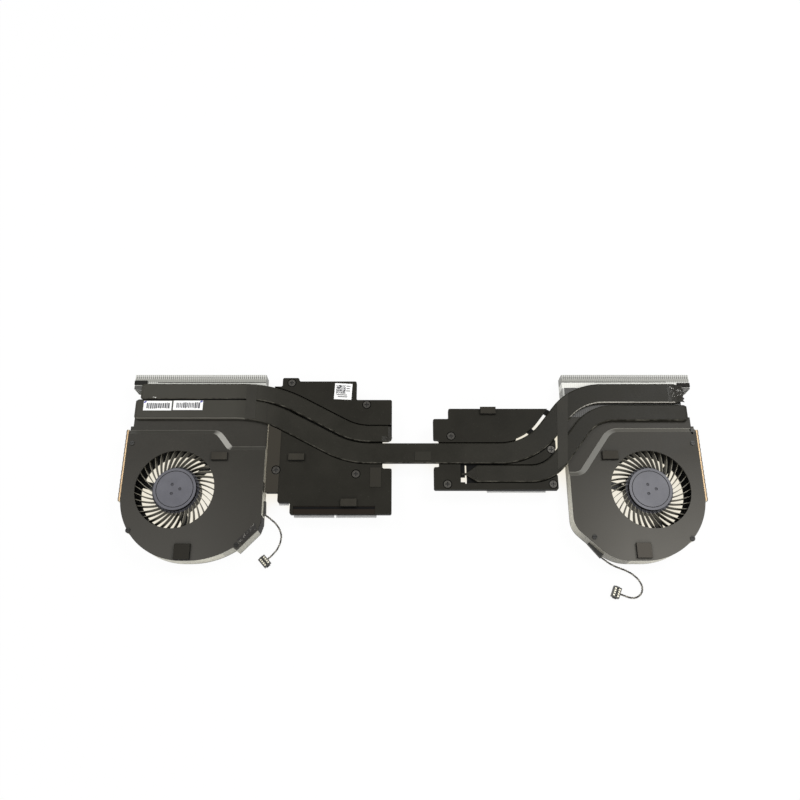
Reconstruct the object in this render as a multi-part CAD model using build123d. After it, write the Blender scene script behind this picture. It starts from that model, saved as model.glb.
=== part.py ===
from build123d import *
import math
import os

# Twin-blower laptop heat sink, lying with the fans' inlets up.
# Origin at the centre of its footprint, +X from the left fan to the right fan, +Y to the fins, +Z up.

# Overall sizes, millimetres
overall_width = 328.6
overall_depth = 110.0
fan_height = 11.5
fin_height = 8.9
seam = 0.2
fit_clearance = 0.03

strip_overhang = 0.3
half_width = overall_width / 2 - strip_overhang
north = overall_depth / 2
south = -north

# Fin stacks
fin_depth = 26.5
fin_pitch = 1.2
fin_gap = 0.95
fin_skin = 0.4
left_fin_length = 77.6
right_fin_length = 75.4
fin_corner_length = 6.5
fin_corner_keep = 9.0
fin_corner_slant = 1.2
left_groove_from_north = 4.9
right_groove_from_north = 4.6
fin_groove_width = 0.5
fin_groove_depth = 0.25
fin_groove_margin = 13.5
fin_tab_from_north = 1.9
fin_tab_length = 0.9
fin_tab_width = 0.7
fin_tab_depth = 0.2
fin_foam_length = 7.5
fin_foam_width = 2.5
fin_foam_height = 0.8
left_foam_from_north = 3.9
right_foam_from_north = 5.4

# Fan housings
left_fan_width = 80.2
right_fan_width = 75.3
floor_thickness = 0.8
wall_thickness = 1.2
cover_thickness = 0.6
strip_ledge = 1.0
outer_corner_radius = 37.0
left_corner_run = 16.4
left_corner_rise = 21.2
left_corner_radius = 46.0
left_inner_radius = 4.0
right_corner_run = 20.8
right_corner_rise = 19.0
right_corner_radius = 22.0
right_inner_radius = 12.0
shoulder_inset = 2.5
shoulder_drop = 5.6
bay_length = 19.8
bay_bulge = 1.7
bay_knee = 4.6
bay_root = 5.0

# Step in each cover, from the high part over the rotor down to the pipe bed
bevel_run = 3.1
left_step_drop = 7.8
left_step_outer = 27.4
left_step_inner = 19.7
left_step_fall = 9.9
left_step_radii = (8.0, 1.2)
right_step_drop = 6.7
right_step_outer = 24.2
right_step_inner = 6.0
right_step_fall = 26.1
right_step_radii = (11.0, 5.0)

# Rotors
axis_from_outboard = 30.6
axis_from_south = 40.0
inlet_radius = 22.3
floor_inlet_radius = 21.6
spoke_width = 4.2
spoke_turn = 46.0
spoke_count = 3
motor_seat_radius = 13.0
rotor_radius = 26.0
blade_count = 37
blade_sweep = 25.0
blade_bow = 2.0
blade_thickness = 0.35
blade_bottom = 5.0
blade_top = 9.1
hub_radius = 13.3
hub_wall = 1.7
hub_disc_radius = 12.0
hub_top = 10.8
hub_shoulder = 7.9
hub_roof = 2.4
hub_groove_radius = 10.4
hub_groove_width = 0.4
hub_groove_depth = 0.35
hub_bottom = 2.0
dimple_count = 3
dimple_radius = 0.9
dimple_depth = 0.3
dimple_circle = 3.0

# Motors
shaft_radius = 1.0
shaft_clearance = 0.03
shaft_grip = 1.0
shaft_cover = 0.5
shaft_boss_radius = 2.4
bush_radius = 2.6
bush_top = 6.9
seat_boss_radius = 3.6
seat_boss_top = 6.6
thrust_pad_thickness = 0.4
cup_thickness = 0.5
magnet_thickness = 1.1
magnet_bottom = 2.6
magnet_height = 4.8
air_gap = 0.35
stator_bottom = 3.0
stator_height = 3.2
stator_ring = 1.6
tooth_count = 9
tooth_width = 1.3
tooth_tip = 0.7
tooth_tip_span = 28.0
coil_build = 0.7
coil_margin = 0.25
board_thickness = 0.5
board_radius = 10.8

# Cover screws and the boss that each one bites into
pillar_radius = 1.5
pilot_radius = 0.6
cover_screw_radius = 0.55
cover_hole_radius = 0.7
cover_head_radius = 1.3
cover_head_height = 0.5
cover_screw_length = 5.0
slot_width = 0.4
slot_depth = 0.3
ear_radius = 1.6
ear_inset = 0.5
left_ear_turn = 34.0
right_ear_turn = 43.0
north_screw_inset = 2.9
north_screw_drop = 16.6
left_inner_screw = (12.5, 8.6)
right_inner_screw = (10.6, 12.9)

# Contact finger strip on each outboard edge
strip_length = 42.0
strip_start = 35.0
strip_base = 10.85
strip_width = 1.2
strip_pitch = 2.6
strip_rise = 0.5
strip_thickness = 0.25

# Foam pads: place of the middle from the nearest fan edge, or from the middle and the north, and size
pad_height = 1.8
left_north_pad = (25.7, 24.5, 9.1, 4.7)
left_south_pad = (41.6, 4.7, 8.8, 8.6)
right_north_pad = (23.4, 24.0, 9.1, 5.0)
right_south_pad = (36.7, 5.4, 8.2, 8.2)
graphics_upper_pad = (17.9, 51.6, 9.2, 4.0)
graphics_lower_pad = (-35.7, 78.0, 9.1, 4.4)
processor_pad = (43.9, 23.5, 9.0, 4.3)

# Heat pipes: widths, bend radii and corners of their runs, placed from the ends, fans or middle and the north
pipe_thickness = 2.5
wide_pipe = 12.0
slim_pipe = 9.7
pipe_edge = 0.9
left_pipe_row = 11.25
left_pipe_start = 6.6
left_pipe_bend = 2.3
left_pipe_drop = (-32.8, 37.4)
left_pipe_end_inset = 2.1
left_pipe_radii = (72.0, 34.0)
long_pipe_row = 22.2
long_pipe_start = 4.2
long_pipe_bend = -3.1
long_pipe_drop = (-36.0, 49.1)
long_pipe_rise = 21.3
long_pipe_level = (-7.2, 12.5)
long_pipe_end = 9.8
long_pipe_radii = (62.0, 46.0, 36.0, 32.0)
right_pipe_row = 61.1
right_pipe_start = 36.5
right_pipe_bend = 11.4
right_pipe_level = (-16.6, 24.6)
right_pipe_end = 5.7
right_pipe_radii = (21.3, 24.0)
nose_length = 6.0
nose_share = 0.14
nib_length = 2.8
nib_thickness = 1.0
blunt_length = 1.4
blunt_share = 0.86

# Plates: outer features are placed from the fan beside them, inner ones from the middle, all from the north
plate_top = 10.8
plate_thickness = 3.4
pipe_slit = 0.6
plate_corner = 1.0
graphics_gap = 1.1
graphics_east = -11.8
graphics_north = 4.9
graphics_south = 84.3
graphics_tab = (7.6, 17.3, 2.7)
graphics_shelf = 8.1
graphics_step = (-32.6, 16.6)
graphics_neck = (-17.1, 40.4, 58.1)
graphics_notch = (8.3, 72.0)
graphics_foot = (15.4, 77.6)
graphics_outer_screws = [(13.0, 5.8), (6.6, 59.0)]
graphics_inner_screws = [(-26.5, 19.5), (-32.0, 61.3)]
panel_box = (-24.0, -17.8, 68.9, 57.6)
panel_rise = 0.3
band_west = 17.3
band_east = -21.0
band_width = 4.6
band_depth = 0.4
column_width = 7.3
column_rise = 0.25
processor_gap = 6.8
processor_west = 12.0
processor_north = 22.1
processor_south = 70.3
processor_step = (20.9, 28.4)
processor_neck = (15.1, 40.9, 57.3)
processor_inner_screws = [(22.2, 38.8), (19.6, 67.2)]
processor_outer_screws = [(9.5, 46.8), (9.7, 67.2)]
processor_cut = 29.2
curve_gap = 1.8
curve_tabs = [(20.1, 35.6), (9.7, 24.0)]
curve_tab_width = 3.4
tip_slot = (-6.8, -5.9, -5.9, 5.6)
tip_window = (-9.2, -5.8, -4.5, -1.5)
cold_block_height = 2.0
graphics_block_shift = -4.2
graphics_block_row = 39.0
graphics_block_width = 30.0
graphics_block_depth = 30.0
processor_block_shift = 3.5
processor_block_row = 54.5
processor_block_width = 34.0
processor_block_depth = 24.0
thermal_pad_height = 1.2
thermal_pad_depth = 8.8
thermal_pad_overhang = 1.1
thermal_pad_split = 1.2
thermal_pad_west = 2.2
thermal_pad_east = 8.4
corner_pad = (3.3, -2.0, 5.4, 5.6)
processor_south_pad = (23.4, 68.8, 33.0, 4.4)
processor_north_pad = (40.0, 27.8, 30.0, 6.0)

# Captive screws in the plates
screw_radius = 1.0
screw_neck_radius = 0.6
screw_hole_radius = 1.2
screw_head_radius = 2.1
screw_seat_radius = 2.6
screw_head_height = 1.0
screw_reach = 3.0
clip_radius = 2.0
clip_thickness = 0.4
clip_mouth = 1.2
cross_width = 0.55
cross_length = 2.6
cross_depth = 0.5

# Tapes, labels and the patch on the bridge, placed from the fan or outboard end beside them and the north
tape_thickness = 0.15
label_thickness = 0.1
left_tape_box = (-10.1, 17.7, 5.9, 21.2)
right_tape_points = [(6.8, 59.0), (0.8, 54.6), (-2.4, 13.0), (4.3, 18.4)]
bay_tape_points = [(15.4, -3.6), (15.4, 0.1), (4.7, 1.2), (2.3, -2.0)]
pipe_label_boxes = [(15.8, 20.4, 16.4, 5.9), (33.5, 20.2, 17.2, 5.8)]
plate_label_box = (-40.4, 11.3, 10.2, 10.0)
plate_label_turn = -3.0
patch_box = (5.9, 1.9, 9.1, 5.3)
patch_thickness = 0.3

# Fan leads: the route's points, chosen by hand, from the foot of each fan's inboard edge, and their heights
lead_diameter = 1.1
left_lead_points = [
    (1.0, 26.6, 4.6), (4.6, 24.1, 4.6), (8.3, 20.8, 3.0), (10.4, 16.2, 1.1),
    (9.8, 11.2, 0.75), (7.4, 6.3, 0.75), (3.4, 2.7, 0.75),
]
right_lead_points = [
    (14.9, 3.0, 4.4), (18.7, -0.2, 4.4), (23.4, -2.2, 3.0), (28.3, -3.5, 1.4),
    (32.7, -5.8, 0.85), (36.1, -9.4, 0.75), (37.3, -13.8, 0.75), (35.1, -17.5, 0.75),
    (31.1, -18.7, 0.75), (27.5, -17.6, 0.75), (24.3, -16.3, 0.75),
]
fillet_share = 0.45
gland_height = 2.2
gland_width = 1.5
gland_rise = 1.1
left_gland_from_south = 34.2
right_gland_along = 11.8
plug_width = 6.0
plug_length = 4.4
plug_height = 2.4
plug_floor = 0.05
plug_slot = 0.7
plug_slot_depth = 1.4
plug_pin_pitch = 1.25
plug_pin_count = 4
plug_rib = 0.5

pipe_top = fin_height + pipe_thickness
plate_bottom = plate_top - plate_thickness
fan_north = north - fin_depth - seam
axis_x = half_width - axis_from_outboard
axis_y = south + axis_from_south
cover_edge = half_width - strip_ledge
ledge_width = strip_ledge + strip_overhang
left_span = half_width - left_fan_width
right_span = half_width - right_fan_width
hub_inner = hub_radius - hub_wall
hub_ceiling = hub_top - hub_roof
shaft_top = hub_top - shaft_cover
up = (0, 0, 1)
nodes = {}


def prism(face, bottom, top):
    return extrude(Pos(0, 0, bottom) * face, amount=top - bottom, dir=up)


def block(x0, x1, y0, y1, z0, z1):
    return Pos((x0 + x1) / 2, (y0 + y1) / 2, (z0 + z1) / 2) * Box(abs(x1 - x0), abs(y1 - y0), z1 - z0)


def slab(place, bottom, height):
    x, y, width, depth = place
    return Pos(x, y, bottom + height / 2) * Box(width, depth, height)


def disc(x, y, radius, bottom, top):
    return Pos(x, y, (bottom + top) / 2) * Cylinder(radius, top - bottom)


def polygon(points):
    return make_face(Polyline(*points, close=True))


def one(shape):
    return shape.solids()[0]


# Places measured from a fan's inboard edge towards the middle, or from the middle, and from the north edge
def by_left_fan(gap, row, *size):
    return (-left_span + gap, north - row, *size)


def by_right_fan(gap, row, *size):
    return (right_span - gap, north - row, *size)


def by_middle(x, row, *size):
    return (x, north - row, *size)


def on_cover(side, span, pad, from_south):
    inward, row, width, depth = pad
    y = south + row if from_south else fan_north - row
    return side * (span + inward), y, width, depth


# Fan housing outline, drawn with the outboard side to +X and mirrored for the left fan
def corner(width, run, rise, radius, inner_radius, inset):
    inboard = half_width - width
    length = math.hypot(run, rise)
    start_x = inboard + run + inset * (length - run) / rise
    end_y = south + rise + inset * (length - rise) / run
    turn = math.atan2(rise, run)
    outer_tangent = (radius - inset) * math.tan(turn / 2)
    room = cover_edge - inset - start_x - outer_tangent
    big_radius = min(outer_corner_radius - inset, room)
    return inboard + inset, start_x, end_y, big_radius


def housing_outline(side, inset):
    if side < 0:
        values = (left_fan_width, left_corner_run, left_corner_rise)
        values += (left_corner_radius, left_inner_radius)
    else:
        values = (right_fan_width, right_corner_run, right_corner_rise)
        values += (right_corner_radius, right_inner_radius)
    inboard, start_x, end_y, big_radius = corner(*values, inset)
    points = [
        (cover_edge - inset, fan_north), (cover_edge - inset, south + inset),
        (start_x, south + inset), (inboard, end_y), (inboard, fan_north),
    ]
    radii = [0, big_radius, values[3] - inset, values[4] - inset, 0]
    mirrored = [(side * x, y) for x, y in points]
    return make_face(FilletPolyline(*mirrored, radius=radii, close=True))


def ear_centre(side):
    swing = math.radians(left_ear_turn if side < 0 else right_ear_turn)
    reach = outer_corner_radius - ear_inset
    x = cover_edge - outer_corner_radius + reach * math.cos(swing)
    y = south + outer_corner_radius - reach * math.sin(swing)
    return side * x, y


def screw_places(side):
    north_screw = (side * (cover_edge - north_screw_inset), fan_north - north_screw_drop)
    if side < 0:
        inner = (-left_span - left_inner_screw[0], south + left_inner_screw[1])
    else:
        inner = (right_span + right_inner_screw[0], south + right_inner_screw[1])
    return [north_screw, ear_centre(side), inner]


def fan_plan(side):
    plan = housing_outline(side, 0) + Pos(*ear_centre(side)) * Circle(ear_radius)
    if side < 0:
        plan = plan + bay_face()
    shoulder = Rectangle(2 * (shoulder_inset - strip_ledge), 2 * shoulder_drop)
    return plan - Pos(side * cover_edge, fan_north) * shoulder


# Places near the left fan's cable bay, measured along its slanted side and out from it
def bay_place(along, out):
    side = Vector(-left_corner_run, -left_corner_rise).normalized()
    x = -left_span + side.X * along - side.Y * out
    y = south + left_corner_rise + side.Y * along + side.X * out
    return x, y


def bay_face():
    corners = [(0, -bay_root), (0, 0), (bay_knee, bay_bulge), (bay_length, 0), (bay_length, -bay_root)]
    return polygon([bay_place(along, out) for along, out in corners])


# Solid below the lid's upper face: a low bed for the pipes and a bevelled rise over the rotor
def lid_mass(side):
    far = overall_width
    if side < 0:
        edge = left_span
        outer, inner, step_radii = left_step_outer, left_step_inner, left_step_radii
        drop, fall = left_step_drop, left_step_fall
    else:
        edge = right_span
        outer, inner, step_radii = right_step_outer, right_step_inner, right_step_radii
        drop, fall = right_step_drop, right_step_fall
    top_y = fan_north - drop
    points = [
        (half_width + far, top_y), (edge + outer, top_y), (edge + inner, top_y - fall),
        (edge - far, top_y - fall), (edge - far, south - far), (half_width + far, south - far),
    ]
    radii = [0, *step_radii, 0, 0, 0]
    if side < 0:
        points.reverse()
        radii.reverse()
    mirrored = [(side * x, y) for x, y in points]
    face = make_face(FilletPolyline(*mirrored, radius=radii, close=True))
    rise = fan_height - fin_height
    slope = math.degrees(math.atan2(bevel_run, rise))
    high = extrude(Pos(0, 0, fin_height) * face, amount=rise, dir=up, taper=slope)
    low = block(-far, far, -far, far, -fan_height, fin_height)
    return low + high


def fan_frame(side, under_lid):
    centre = Pos(side * axis_x, axis_y)
    plan = fan_plan(side)
    ledge = Pos(side * (cover_edge + ledge_width / 2), axis_y + strip_start - strip_length / 2)
    ledge_face = ledge * Rectangle(ledge_width, strip_length)
    ring = plan - housing_outline(side, wall_thickness)
    mouth_start = fan_north - wall_thickness
    mouth = block(-overall_width, overall_width, mouth_start, north, floor_thickness, fan_height)
    wall = prism(ring, 0, fan_height) & under_lid
    wall = wall - mouth
    wall = wall + prism(ledge_face, 0, strip_base)
    floor = prism(plan + ledge_face, 0, floor_thickness)
    floor = floor - centre * disc(0, 0, floor_inlet_radius, 0, floor_thickness)
    body = floor + wall + centre * disc(0, 0, motor_seat_radius, 0, floor_thickness)
    for index in range(spoke_count):
        turn = spoke_turn + index * 360 / spoke_count
        reach = (motor_seat_radius + floor_inlet_radius) / 2
        length = floor_inlet_radius - motor_seat_radius + 2 * wall_thickness
        spoke = Pos(reach, 0, floor_thickness / 2) * Box(length, spoke_width, floor_thickness)
        body = body + centre * Rot(0, 0, turn) * spoke
    boss = disc(0, 0, seat_boss_radius, floor_thickness, seat_boss_top)
    boss = boss - disc(0, 0, bush_radius + fit_clearance, floor_thickness, seat_boss_top)
    body = body + centre * boss
    for x, y in screw_places(side):
        pillar = disc(x, y, pillar_radius, floor_thickness, fan_height) & under_lid
        body = body + pillar
    for x, y in screw_places(side):
        body = body - disc(x, y, pilot_radius, fan_height - 2 * cover_screw_length, fan_height + seam)
    return body


def fan_cover(side, lid, under_lid):
    sheet = (lid - under_lid) & prism(fan_plan(side), fin_height - 2 * cover_thickness, fan_height)
    sheet = sheet - disc(side * axis_x, axis_y, inlet_radius, 0, 2 * fan_height)
    for x, y in screw_places(side):
        sheet = sheet - disc(x, y, cover_hole_radius, 0, 2 * fan_height)
    return sheet


def cover_screw(x, y):
    head = disc(x, y, cover_head_radius, fan_height, fan_height + cover_head_height)
    slot_floor = fan_height + cover_head_height - slot_depth
    slot = slab((x, y, 2 * cover_head_radius, slot_width), slot_floor, slot_depth)
    shank = disc(x, y, cover_screw_radius, fan_height - cover_screw_length, fan_height)
    return head + shank - slot


def blade(side):
    inner = hub_radius - hub_wall / 2
    middle = (inner + rotor_radius) / 2
    stations = [(inner, 0.0), (middle, blade_sweep / 2 + blade_bow), (rotor_radius, blade_sweep)]

    def edge_points(offset):
        points = []
        for radius, turn in stations:
            angle = side * math.radians(turn) + offset * blade_thickness / 2 / radius
            points.append((radius * math.cos(angle), radius * math.sin(angle)))
        return points

    front = ThreePointArc(*edge_points(1))
    back = ThreePointArc(*edge_points(-1))
    face = make_face([front, back, Line(front @ 0, back @ 0), Line(front @ 1, back @ 1)])
    return prism(face, blade_bottom, blade_top)


def impeller(side):
    profile = [
        (0, hub_top), (hub_disc_radius, hub_top), (hub_disc_radius, hub_shoulder), (hub_radius, hub_shoulder),
        (hub_radius, hub_bottom), (hub_inner, hub_bottom), (hub_inner, hub_ceiling),
        (shaft_boss_radius, hub_ceiling),
        (shaft_boss_radius, hub_ceiling - shaft_grip), (shaft_radius, hub_ceiling - shaft_grip),
        (shaft_radius, shaft_top), (0, shaft_top),
    ]
    hub = revolve(Plane.XZ * polygon(profile), axis=Axis.Z)
    groove_floor = hub_top - hub_groove_depth
    groove = disc(0, 0, hub_groove_radius + hub_groove_width / 2, groove_floor, hub_top + seam)
    groove = groove - disc(0, 0, hub_groove_radius - hub_groove_width / 2, groove_floor, hub_top + seam)
    hub = hub - groove
    one_blade = blade(side)
    body = hub + [Rot(0, 0, index * 360 / blade_count) * one_blade for index in range(blade_count)]
    for index in range(dimple_count):
        turn = Rot(0, 0, index * 360 / dimple_count)
        body = body - turn * disc(dimple_circle, 0, dimple_radius, hub_top - dimple_depth, hub_top + seam)
    return body


def motor(prefix, side):
    place = Pos(side * axis_x, axis_y)
    cup_outer = hub_inner - fit_clearance
    cup_top = hub_ceiling - fit_clearance
    magnet_outer = cup_outer - cup_thickness - fit_clearance
    magnet_inner = magnet_outer - magnet_thickness
    stator_outer = magnet_inner - air_gap
    stator_inner = seat_boss_radius + fit_clearance
    stator_top = stator_bottom + stator_height
    pad_top = floor_thickness + thrust_pad_thickness

    cup = disc(0, 0, cup_outer, magnet_bottom, cup_top)
    cup = cup - disc(0, 0, cup_outer - cup_thickness, magnet_bottom, cup_top - cup_thickness)
    cup = cup - disc(0, 0, shaft_boss_radius + fit_clearance, magnet_bottom, cup_top)
    nodes[prefix + "rotor_cup"] = place * cup

    magnet = disc(0, 0, magnet_outer, magnet_bottom, magnet_bottom + magnet_height)
    nodes[prefix + "magnet_ring"] = place * (magnet - disc(0, 0, magnet_inner, 0, fan_height))

    shaft = disc(0, 0, shaft_radius, pad_top + shaft_clearance, shaft_top)
    nodes[prefix + "shaft"] = place * shaft

    bush = disc(0, 0, bush_radius, pad_top, bush_top)
    bush = bush - disc(0, 0, shaft_radius + shaft_clearance, pad_top, bush_top)
    nodes[prefix + "bearing_bush"] = place * bush
    nodes[prefix + "thrust_pad"] = place * disc(0, 0, bush_radius, floor_thickness, pad_top)

    core = Circle(stator_inner + stator_ring)
    tooth_length = stator_outer - stator_inner - stator_ring / 2
    tooth_middle = stator_outer - tooth_length / 2 - tooth_tip / 2
    tip = Circle(stator_outer) - Circle(stator_outer - tooth_tip)
    wedge_reach = 2 * stator_outer
    wedge_half = wedge_reach * math.tan(math.radians(tooth_tip_span / 2))
    wedge = polygon([(0, 0), (wedge_reach, -wedge_half), (wedge_reach, wedge_half)])
    tip = tip & wedge
    for index in range(tooth_count):
        turn = Rot(0, 0, index * 360 / tooth_count)
        core = core + turn * (Pos(tooth_middle, 0) * Rectangle(tooth_length, tooth_width)) + turn * tip
    core = core - Circle(stator_inner)
    nodes[prefix + "stator_core"] = place * prism(core, stator_bottom, stator_top)

    coil_start = stator_inner + stator_ring + coil_margin
    coil_end = stator_outer - tooth_tip - coil_margin
    coil_length = coil_end - coil_start
    coil_outer = Box(coil_length, tooth_width + 2 * coil_build, stator_height + 2 * coil_build)
    coil_hole = Box(coil_length, tooth_width + 2 * fit_clearance, stator_height + 2 * fit_clearance)
    coil = Pos((coil_start + coil_end) / 2, 0, (stator_bottom + stator_top) / 2) * (coil_outer - coil_hole)
    turns = [place * Rot(0, 0, index * 360 / tooth_count) * coil for index in range(tooth_count)]
    nodes[prefix + "stator_coils"] = Compound(children=[one(turn) for turn in turns])

    board = disc(0, 0, board_radius, floor_thickness, floor_thickness + board_thickness)
    board = board - disc(0, 0, seat_boss_radius + fit_clearance, 0, fan_height)
    nodes[prefix + "motor_board"] = place * board


def contact_strip(side):
    count = int(strip_length / strip_pitch)
    first = axis_y + strip_start - strip_length / 2 - count * strip_pitch / 2
    upper = []
    for index in range(2 * count + 1):
        crest = strip_rise if index % 2 else 0.0
        upper.append((first + index * strip_pitch / 2, strip_base + strip_thickness + crest))
    lower = [(y, z - strip_thickness) for y, z in reversed(upper)]
    ribbon = extrude(Plane.YZ * polygon(upper + lower), amount=strip_width / 2, both=True)
    return Pos(side * (cover_edge + ledge_width / 2), 0, 0) * ribbon


def foam_pad(place, bottom):
    return fillet(slab(place, bottom, pad_height).faces().sort_by(Axis.Z)[-1].edges(), pad_height / 4)


# Cords as straight runs joined by tangent arcs
def route_wire(points):
    vectors = [Vector(*point) for point in points]
    radii = []
    for before, here, after in zip(vectors, vectors[1:], vectors[2:]):
        turn = math.radians((here - before).get_angle(after - here))
        shorter = min((here - before).length, (after - here).length)
        radii.append(fillet_share * shorter / math.tan(turn / 2))
    print("lead bend radii", [round(radius, 1) for radius in radii])
    return FilletPolyline(*points, radius=radii)


def lead_tube(points):
    path = route_wire(points)
    section = Plane(origin=path @ 0, z_dir=path % 0) * Circle(lead_diameter / 2)
    tube = sweep(section, path=path)
    ideal = math.pi * (lead_diameter / 2) ** 2 * path.length
    print("lead length", round(path.length, 2), "volume ratio", round(tube.volume / ideal, 4))
    return tube


def lead_gland(points, start, outward):
    first = Vector(*points[0])
    heading = (Vector(*points[1]) - first)
    flat = Vector(heading.X, heading.Y).normalized()
    across = Vector(-flat.Y, flat.X) * (gland_width / 2)
    if across.dot(outward) < 0:
        across = across * -1
    end = Vector(first.X, first.Y)
    wall_end = end - across - outward * (end - across - start).dot(outward)
    corners = [start, start + outward * gland_rise, end + across, end - across, wall_end]
    face = polygon([(point.X, point.Y) for point in corners])
    return prism(face, first.Z - gland_height / 2, first.Z + gland_height / 2)


def lead_plug(points):
    last = Vector(*points[-1])
    heading = last - Vector(*points[-2])
    turn = math.degrees(math.atan2(heading.Y, heading.X))
    body = Pos(plug_length / 2, 0, plug_height / 2) * Box(plug_length, plug_width, plug_height)
    for index in range(plug_pin_count):
        offset = (index - (plug_pin_count - 1) / 2) * plug_pin_pitch
        window = Pos(plug_length / 2, offset, plug_height) * Box(plug_slot_depth, plug_slot, plug_height / 2)
        mouth = Pos(plug_length, offset, plug_height / 2) * Box(plug_slot_depth, plug_slot, plug_slot)
        body = body - window - mouth
    for flank in (-1, 1):
        rib = Pos(plug_length / 2, flank * (plug_width + plug_rib) / 2, plug_height / 4)
        body = body + rib * Box(plug_length / 2, plug_rib, plug_height / 2)
    return Pos(last.X, last.Y, plug_floor) * Rot(0, 0, turn) * body


def fan(prefix, side, route, gland_start, gland_out, pads):
    lid = lid_mass(side)
    under_lid = Pos(0, 0, -cover_thickness) * lid
    place = Pos(side * axis_x, axis_y)
    nodes[prefix + "fan_frame"] = fan_frame(side, under_lid)
    nodes[prefix + "fan_cover"] = fan_cover(side, lid, under_lid)
    screws = [cover_screw(x, y) for x, y in screw_places(side)]
    nodes[prefix + "cover_screws"] = Compound(children=[one(screw) for screw in screws])
    nodes[prefix + "impeller"] = place * impeller(side)
    motor(prefix, side)
    nodes[prefix + "contact_strip"] = contact_strip(side)
    nodes[prefix + "fan_pads"] = Compound(children=[one(foam_pad(pad, fan_height)) for pad in pads])
    nodes[prefix + "lead_gland"] = lead_gland(route, gland_start, gland_out)
    nodes[prefix + "fan_lead"] = lead_tube(route)
    nodes[prefix + "lead_plug"] = lead_plug(route)


# Fin stacks: thin upright fins between a folded top and bottom skin
def fin_stack(side, length):
    west = half_width - length
    count = int((length - fin_skin) / fin_pitch)
    first = west + (length - count * fin_pitch) / 2
    profile = Pos(west + length / 2, fin_height / 2) * Rectangle(length, fin_height)
    for index in range(count):
        x = first + (index + 1 / 2) * fin_pitch
        profile = profile - Pos(x, fin_height / 2) * Rectangle(fin_gap, fin_height - 2 * fin_skin)
    body = extrude(Plane.XZ * profile, amount=fin_depth)
    body = Pos(0, north - body.bounding_box().max.Y, 0) * body
    groove_y = north - (left_groove_from_north if side < 0 else right_groove_from_north)
    groove = block(west, half_width - fin_groove_margin, groove_y - fin_groove_width / 2,
                   groove_y + fin_groove_width / 2, fin_height - fin_groove_depth, fin_height + seam)
    body = body - groove
    tab_y = north - fin_tab_from_north
    tabs = []
    for index in range(count):
        x = first + (index + 1 / 2) * fin_pitch
        place = (x, tab_y, fin_tab_width, fin_tab_length)
        tabs.append(slab(place, fin_height - fin_tab_depth, 2 * fin_tab_depth))
    body = body - tabs
    keep = north - fin_corner_keep
    corner_cut = [
        (half_width + seam, keep), (half_width - fin_corner_length, keep - fin_corner_slant),
        (half_width - fin_corner_length, south), (half_width + seam, south),
    ]
    body = body - prism(polygon(corner_cut), -seam, fin_height + seam)
    return body if side > 0 else mirror(body, about=Plane.YZ)


def fin_foam(side):
    x = side * (half_width - fin_foam_length / 2)
    gap = left_foam_from_north if side < 0 else right_foam_from_north
    y = north - gap - fin_foam_width / 2
    return slab((x, y, fin_foam_length, fin_foam_width), fin_height, fin_foam_height)


# Flattened heat pipes
def pipe_section(width, thickness, origin, heading):
    spot = Vector(origin)
    level = Vector(spot.X, spot.Y, fin_height + thickness / 2)
    across = Vector(-heading.Y, heading.X, 0)
    plane = Plane(origin=level, x_dir=across, z_dir=heading)
    return plane * RectangleRounded(width, thickness, thickness * pipe_edge / pipe_thickness)


def pipe_nose(width, point, heading, length, share, nib):
    start = Vector(*point)
    tip = start + heading * length
    full = pipe_section(width, pipe_thickness, start, heading)
    thin = pipe_section(width * share, nib_thickness if nib else pipe_thickness * share, tip, heading)
    nose = loft([full, thin])
    if nib:
        nose = nose + extrude(thin, amount=nib_length, dir=heading)
    return nose


def pipe_path(points, radii):
    return FilletPolyline(*points, radius=list(radii))


def heat_pipe(points, radii, width, start_nib, end_nib):
    path = pipe_path(points, radii)
    headings = [(Vector(*points[0]) - Vector(*points[1])).normalized()]
    headings.append((Vector(*points[-1]) - Vector(*points[-2])).normalized())
    body = sweep(pipe_section(width, pipe_thickness, points[0], headings[0] * -1), path=path_at_level(path))
    for point, heading, nib in zip((points[0], points[-1]), headings, (start_nib, end_nib)):
        length = nose_length if nib else blunt_length
        share = nose_share if nib else blunt_share
        body = body + pipe_nose(width, point, heading, length, share, nib)
    return body


def path_at_level(path):
    return Pos(0, 0, fin_height + pipe_thickness / 2) * path


def pipe_channel(points, radii, width, bottom, top):
    path = pipe_path(points, radii)
    heading = (Vector(*points[1]) - Vector(*points[0])).normalized()
    middle = (bottom + top) / 2
    start = Vector(points[0][0], points[0][1], middle)
    plane = Plane(origin=start, x_dir=Vector(-heading.Y, heading.X, 0), z_dir=heading)
    return sweep(plane * Rectangle(width, top - bottom), path=Pos(0, 0, middle) * path)


graphics_left = -left_span + graphics_gap
processor_right = right_span - processor_gap
left_pipe_y = north - left_pipe_row
long_pipe_y = north - long_pipe_row
bridge_y = by_middle(*long_pipe_drop)[1]
right_pipe_tip = by_middle(right_pipe_start, right_pipe_row)
left_pipe_points = [
    (-half_width + left_pipe_start, left_pipe_y), by_left_fan(left_pipe_bend, left_pipe_row),
    by_middle(*left_pipe_drop), (graphics_east - left_pipe_end_inset, by_middle(*left_pipe_drop)[1]),
]
long_pipe_points = [
    (-half_width + long_pipe_start, long_pipe_y), by_left_fan(long_pipe_bend, long_pipe_row),
    by_middle(*long_pipe_drop), (right_span - long_pipe_rise, bridge_y), by_right_fan(*long_pipe_level),
    (half_width - long_pipe_end, by_right_fan(*long_pipe_level)[1]),
]
right_pipe_points = [
    right_pipe_tip, by_right_fan(right_pipe_bend, right_pipe_row), by_right_fan(*right_pipe_level),
    (half_width - right_pipe_end, by_right_fan(*right_pipe_level)[1]),
]
graphics_screws = [by_left_fan(*place) for place in graphics_outer_screws]
graphics_screws += [by_middle(*place) for place in graphics_inner_screws]
processor_screws = [by_middle(*place) for place in processor_inner_screws]
processor_screws += [by_right_fan(*place) for place in processor_outer_screws]


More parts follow.
